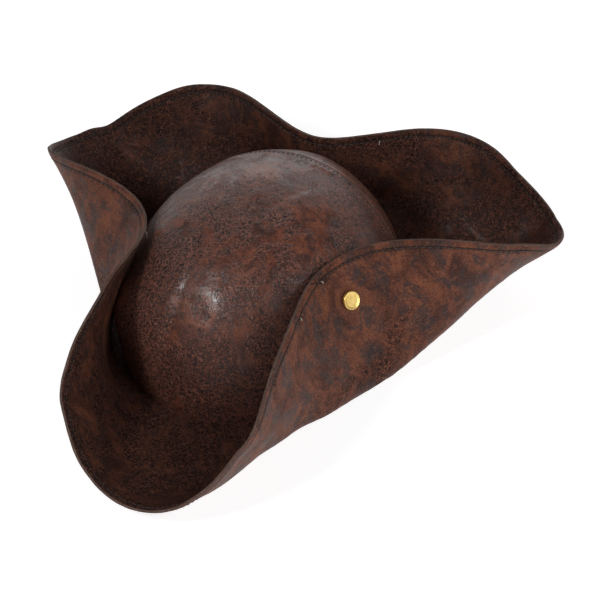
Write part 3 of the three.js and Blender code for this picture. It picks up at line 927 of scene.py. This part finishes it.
def distressed_leather(name, crackle, stain_scale, stretch, painted_light_tone, specular, roughness, depth):
    """Brown imitation leather: orange-brown and slate patches, crackled dark where it is worn.

    In the crackled zones, where a broad noise passes through the range crackle, thin reddish
    lines stand up between wide dark pits of the given depth in metres. The brim's lip, which
    its edge_distance in millimetres shows, is more worn. A painted shade darkens the leather
    along the brim's row of stitches. The colour is then multiplied by a tone for each copy of
    the same leather: above 1 it paints light, below 1 it paints shade.
    """
    n = Nodes(name)
    place = n.place()
    drawn = n.place(stretch)

    patches = n.noise(drawn, 60.0, 6.0, 0.7, 0.9)
    colour = n.ramp(patches, WORN_BROWNS)
    stains = n.noise(drawn, stain_scale, 5.0, 0.66, 0.5)
    slate = n.span(stains, 0.49, 0.6, 0.0, 0.72)
    colour = n.mix(slate, colour, SLATE)
    rubbed = n.span(n.noise(place, 230.0, 5.0, 0.7, 0.6), 0.52, 0.7, 0.0, 0.5)
    colour = n.mix(rubbed, colour, RUBBED)

    crooked = warped(n, place, 300.0, 0.006)
    edges = n.voronoi(crooked, 380.0, "DISTANCE_TO_EDGE")
    wide = n.span(edges, 0.01, 0.11, 1.0, 0.0)
    lines = n.math("MAXIMUM", wide, ridges(n, place, 400.0, 0.03))
    height = n.add("ShaderNodeSeparateXYZ", {0: place}).outputs[2]
    zones = n.math("ADD", n.noise(place, 34.0, 6.0, 0.72, 0.5),
                   n.span(height, 0.01, 0.1, 0.05, -0.07))
    inset = n.add("ShaderNodeAttribute", attribute_name="edge_distance").outputs["Fac"]
    lip = n.math("MULTIPLY", n.span(inset, 0.2, 1.5), n.span(inset, 5.5, 11.0, 0.1, 0.0))
    zones = n.math("ADD", zones, lip)
    crackled = n.span(zones, *crackle)
    pits = n.math("MULTIPLY", n.math("SUBTRACT", 1.0, lines), crackled)
    colour = n.mix(n.math("MULTIPLY", pits, 0.92), colour, PIT)
    raised = n.math("MULTIPLY", lines, crackled)
    colour = n.mix(n.math("MULTIPLY", raised, 0.75), colour, CRACKLE_LINE)

    fine = n.noise(place, 900.0, 3.0, 0.75)
    speckle = n.span(fine, 0.38, 0.56, 0.5, 0.0)
    colour = n.mix(speckle, colour, SPECKLE)
    glint = n.span(fine, 0.56, 0.7, 0.0, 0.3)
    colour = n.mix(glint, colour, GLINT)

    # Painted light and shade: a tone for each copy of the same leather makes the crown lighter and
    # the brim's inside darker.
    colour = n.mix(1.0, colour, (*painted_light_tone, 1), "MULTIPLY")
    # Painted shade: a dark line along the brim's row of stitches, where its groove lies.
    from_row = n.math("ABSOLUTE", n.math("SUBTRACT", inset, float(STITCH_INSET)))
    colour = n.mix(n.span(from_row, 0.3, 1.4, 0.65, 0.0), colour, PAINTED_STITCH_SHADE)

    grain = n.voronoi(crooked, 620.0)
    relief = n.math("ADD", n.math("MULTIPLY", pits, -1.0), n.math("MULTIPLY", grain, 0.5))
    relief = n.math("ADD", relief, n.math("MULTIPLY", fine, 0.3))
    normal = n.bump(relief, depth)
    soft = n.noise(place, 130.0, 3.0, 0.55)
    normal = n.bump(soft, 0.0007, 0.3, normal)
    rough = n.math("ADD", n.span(stains, 0.4, 0.65, roughness + 0.08, roughness - 0.06),
                   n.math("MULTIPLY", pits, 0.12))
    return n.finish(colour, rough, normal, IOR=1.45, Specular_IOR_Level=specular)


def raw_edge_material():
    """The cut edge of the leather: pale fibrous backing under a thin brown film."""
    n = Nodes("raw_leather_edge")
    place = n.place()
    fibres = n.noise(place, 900.0, 5.0, 0.7, 0.5)
    soil = n.noise(place, 70.0, 3.0, 0.6)
    colour = n.ramp(fibres, [(0.3, (0.05, 0.027, 0.02)), (0.52, (0.12, 0.075, 0.06)),
                             (0.75, (0.24, 0.17, 0.145))])
    colour = n.mix(n.span(soil, 0.45, 0.68), colour, (0.09, 0.052, 0.038, 1))
    return n.finish(colour, 0.85, n.bump(fibres, 0.0002, 0.8), Specular_IOR_Level=0.25)


def felt_material():
    n = Nodes("stiffening_felt")
    place = n.place()
    fluff = n.noise(place, 700.0, 6.0, 0.75, 0.8)
    colour = n.ramp(fluff, [(0.3, (0.035, 0.028, 0.025)), (0.7, (0.10, 0.085, 0.075))])
    return n.finish(colour, 0.95, n.bump(fluff, 0.0003, 0.7), Specular_IOR_Level=0.15)


def thread_material(name, dark, light, roughness, depth, strength):
    """Thread with its twist."""
    n = Nodes(name)
    twist = n.wave(n.place(), 900.0, 2.0, "DIAGONAL")
    colour = n.ramp(twist, [(0.2, dark), (0.8, light)])
    return n.finish(colour, roughness, n.bump(twist, depth, strength))


def lining_material():
    """Plain woven black lining with a soft sheen."""
    n = Nodes("lining_cloth")
    place = n.place()
    warp, weft = (n.wave(place, 560.0, 0.4, direction) for direction in "XZ")
    weave = n.math("MULTIPLY", warp, weft)
    shade = n.noise(place, 60.0, 3.0, 0.6)
    colour = n.ramp(weave, [(0.05, (0.012, 0.011, 0.011)), (0.8, (0.038, 0.034, 0.033))])
    colour = n.mix(n.math("MULTIPLY", shade, 0.5), colour, (0.03, 0.025, 0.024, 1))
    return n.finish(colour, 0.75, n.bump(weave, 0.0002, 0.5), Sheen_Weight=0.35)


def ribbon_material():
    """Grosgrain ribbon: fine upright ribs."""
    n = Nodes("ribbed_ribbon")
    here = n.add("ShaderNodeTexCoord").outputs["Object"]
    split = n.add("ShaderNodeSeparateXYZ", {0: here})
    turn = n.math("ARCTAN2", split.outputs[0], n.math("SUBTRACT", split.outputs[1],
                                                     CROWN_Y * MM))
    ribs = n.math("SINE", n.math("MULTIPLY", turn, 480.0))
    shade = n.noise(here, 90.0, 3.0, 0.6)
    level = n.math("ADD", n.math("MULTIPLY", ribs, 0.35), shade)
    colour = n.ramp(level, [(0.15, (0.010, 0.009, 0.009)), (0.9, (0.045, 0.040, 0.040))])
    return n.finish(colour, 0.62, n.bump(ribs, 0.0003, 0.6), Sheen_Weight=0.2)


def brass_material():
    """Satin brass, finely brushed, dulled in patches."""
    n = Nodes("satin_brass")
    place = n.place()
    tarnish = n.noise(place, 320.0, 4.0, 0.6)
    scratches = n.noise(n.place((1, 1, 9)), 1500.0, 3.0, 0.6)
    colour = n.ramp(tarnish, [(0.3, (0.58, 0.39, 0.115)), (0.55, (0.79, 0.56, 0.19)),
                              (0.75, (0.90, 0.67, 0.27))])
    roughness = n.span(scratches, 0.3, 0.7, 0.3, 0.48)
    return n.finish(colour, roughness, n.bump(scratches, 0.00005, 0.4), Metallic=1.0)


# ------------ the hat

def build_hat():
    # One leather in three copies: the tone paints light on the crown and shade on the brim's
    # inside, and is neutral on the flap.
    flap = distressed_leather(
        "brim_leather", crackle=(0.54, 0.7), stain_scale=95.0, stretch=(1.0, 1.0, 0.7),
        painted_light_tone=(1.0, 1.0, 1.0), specular=0.14, roughness=0.55, depth=0.0003)
    inside = distressed_leather(
        "brim_leather_inside_painted_shade", crackle=(0.44, 0.58), stain_scale=110.0, stretch=(1.0, 1.0, 0.7),
        painted_light_tone=(0.78, 0.82, 0.86), specular=0.22, roughness=0.4, depth=0.0003)
    dome = distressed_leather(
        "crown_leather_painted_light", crackle=(0.37, 0.5), stain_scale=135.0, stretch=(1.0, 1.0, 1.0),
        painted_light_tone=(1.22, 1.15, 1.15), specular=0.56, roughness=0.29, depth=0.00019)
    raw = raw_edge_material()
    felt = felt_material()
    thread = thread_material("waxed_thread", (0.014, 0.009, 0.008), (0.085, 0.055, 0.045),
                             roughness=0.48, depth=0.00015, strength=0.7)
    pale_thread = thread_material("pale_thread", (0.30, 0.24, 0.19), (0.58, 0.50, 0.42),
                                  roughness=0.7, depth=0.0001, strength=1.0)
    lining = lining_material()
    ribbon = ribbon_material()
    brass = brass_material()

    upper = brim_leather("brim_leather_upper", 1, inside, raw, UPPER_SEED)
    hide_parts("brim_upper")
    under = brim_leather("brim_leather_under", -1, flap, raw, UNDER_SEED)
    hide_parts("brim_under")
    board = brim_stiffening(felt)
    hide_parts("brim_stiffener")
    for word, side, seed in (("upper", 1, UPPER_SEED), ("under", -1, UNDER_SEED)):
        row = brim_stitches(f"brim_stitching_{word}", side, thread, seed)
        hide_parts(f"brim_thread_{word}")
    loose_ends(pale_thread)

    for word in ("front", "back"):
        panel = crown_panel(f"crown_{word}_panel", word == "front", dome, raw)
        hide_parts(f"crown_{word}")
    row = crown_stitches(thread)
    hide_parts("crown_seam_thread")
    stiffener_depth = LEATHER + LAYER_GAP
    shell = plain_dome("crown_stiffening", stiffener_depth, STIFFENER, INNER_DOME_FINENESS,
                       felt)
    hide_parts("crown_stiffener")
    cloth_depth = stiffener_depth + STIFFENER + LAYER_GAP
    cloth = plain_dome("crown_lining_cloth", cloth_depth, LINING, DOME_FINENESS, lining,
                       lining_folds)
    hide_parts("crown_lining")

    band_depth = cloth_depth + LINING + LAYER_GAP + BAND_GAP
    ribbon_band = sheet_band("head_band", np.arange(0, 360, 0.5), band_depth, BAND_THICKNESS,
                             BAND_HEIGHT, ribbon, bulge=0.5)
    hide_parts("sweatband")
    tape_angles = 180 + np.linspace(-TAPE_HALF_ANGLE, TAPE_HALF_ANGLE, 25)
    tape_depth = band_depth + BAND_THICKNESS + LAYER_GAP
    tape = sheet_band("head_band_tape", tape_angles, tape_depth, TAPE_THICKNESS, BAND_HEIGHT + 1,
                      ribbon, bulge=0.9)
    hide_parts("sweatband_tape")

    for side, (centre, inward) in RIVETS.items():
        add_rivet(side, centre, inward, brass)


# ------------ stage

FLOOR_SIZE = 30                # metres
FLOOR_DROP = 0.0002            # keeps it clear of the brim's underside


def floor_material():
    """A bright table: white, and lit from within so that shadows on it stay pale."""
    n = Nodes("studio_white")
    n.shader.inputs["Emission Color"].default_value = (1, 1, 1, 1)
    return n.finish((0.5, 0.5, 0.505, 1), 0.8, Specular_IOR_Level=0.1, Emission_Strength=0.8)


def add_floor():
    bpy.ops.mesh.primitive_plane_add(size=FLOOR_SIZE, location=(0, 0, -FLOOR_DROP))
    floor = bpy.context.object
    floor.name = "studio_floor"
    floor.data.materials.append(floor_material())


def add_light(name, toward, distance, size, power):
    """A soft rectangular lamp in a direction from the hat, turned to it."""
    light = bpy.data.lights.new(name, "AREA")
    light.shape = "RECTANGLE"
    light.size, light.size_y = size
    light.energy = power
    lamp = bpy.data.objects.new(name, light)
    lamp.location = Vector(toward).normalized() * distance
    lamp.rotation_euler = (-lamp.location).to_track_quat("-Z", "Y").to_euler()
    bpy.context.scene.collection.objects.link(lamp)


def studio_world():
    """White surroundings, bright round the horizon and dim overhead."""
    world = bpy.data.worlds.new("studio")
    bpy.context.scene.world = world
    world.use_nodes = True
    nodes, links = world.node_tree.nodes, world.node_tree.links
    here = nodes.new("ShaderNodeTexCoord")
    split = nodes.new("ShaderNodeSeparateXYZ")
    fade = nodes.new("ShaderNodeMapRange")
    fade.interpolation_type = "SMOOTHSTEP"
    for key, value in (("From Min", 0.02), ("From Max", 0.45), ("To Min", 0.7), ("To Max", 0.09)):
        fade.inputs[key].default_value = value
    links.new(here.outputs["Generated"], split.inputs[0])
    links.new(split.outputs["Z"], fade.inputs["Value"])
    links.new(fade.outputs["Result"], nodes["Background"].inputs["Strength"])
    nodes["Background"].inputs["Color"].default_value = (1.0, 1.0, 1.0, 1)


def light_scene():
    studio_world()
    add_light("front_left_softbox", toward=(-0.34, -0.57, 0.75), distance=1.8, size=(0.3, 0.4),
              power=11)
    add_light("rear_softbox", toward=(-0.35, 0.9, 0.42), distance=2.2, size=(1.9, 0.8), power=9)
    add_light("right_softbox", toward=(0.85, -0.25, 0.55), distance=2.2, size=(1.2, 1.2), power=21)
    bpy.context.scene.view_settings.view_transform = "Standard"


def add_camera():
    """A long lens, above and to one side of the front corner, slightly tilted."""
    azimuth, elevation, roll = (math.radians(a) for a in (28.7, 41.7, -8.1))
    target = Vector((39.4, 5.3, 50)) * MM
    distance = 3.193
    back = Vector((math.sin(azimuth) * math.cos(elevation),
                   -math.cos(azimuth) * math.cos(elevation), math.sin(elevation)))
    level = Vector((math.cos(azimuth), math.sin(azimuth), 0))
    upward = back.cross(level)
    right = level * math.cos(roll) + upward * math.sin(roll)
    upward = upward * math.cos(roll) - level * math.sin(roll)
    data = bpy.data.cameras.new("camera")
    data.sensor_width = 36
    data.lens = 308.6
    data.clip_end = 100
    camera = bpy.data.objects.new("camera", data)
    turn = Matrix((right, upward, back)).transposed().to_4x4()
    camera.matrix_world = Matrix.Translation(target + back * distance) @ turn
    bpy.context.scene.collection.objects.link(camera)
    bpy.context.scene.camera = camera


add_camera()
add_floor()
light_scene()
build_hat()

bpy.context.view_layer.update()
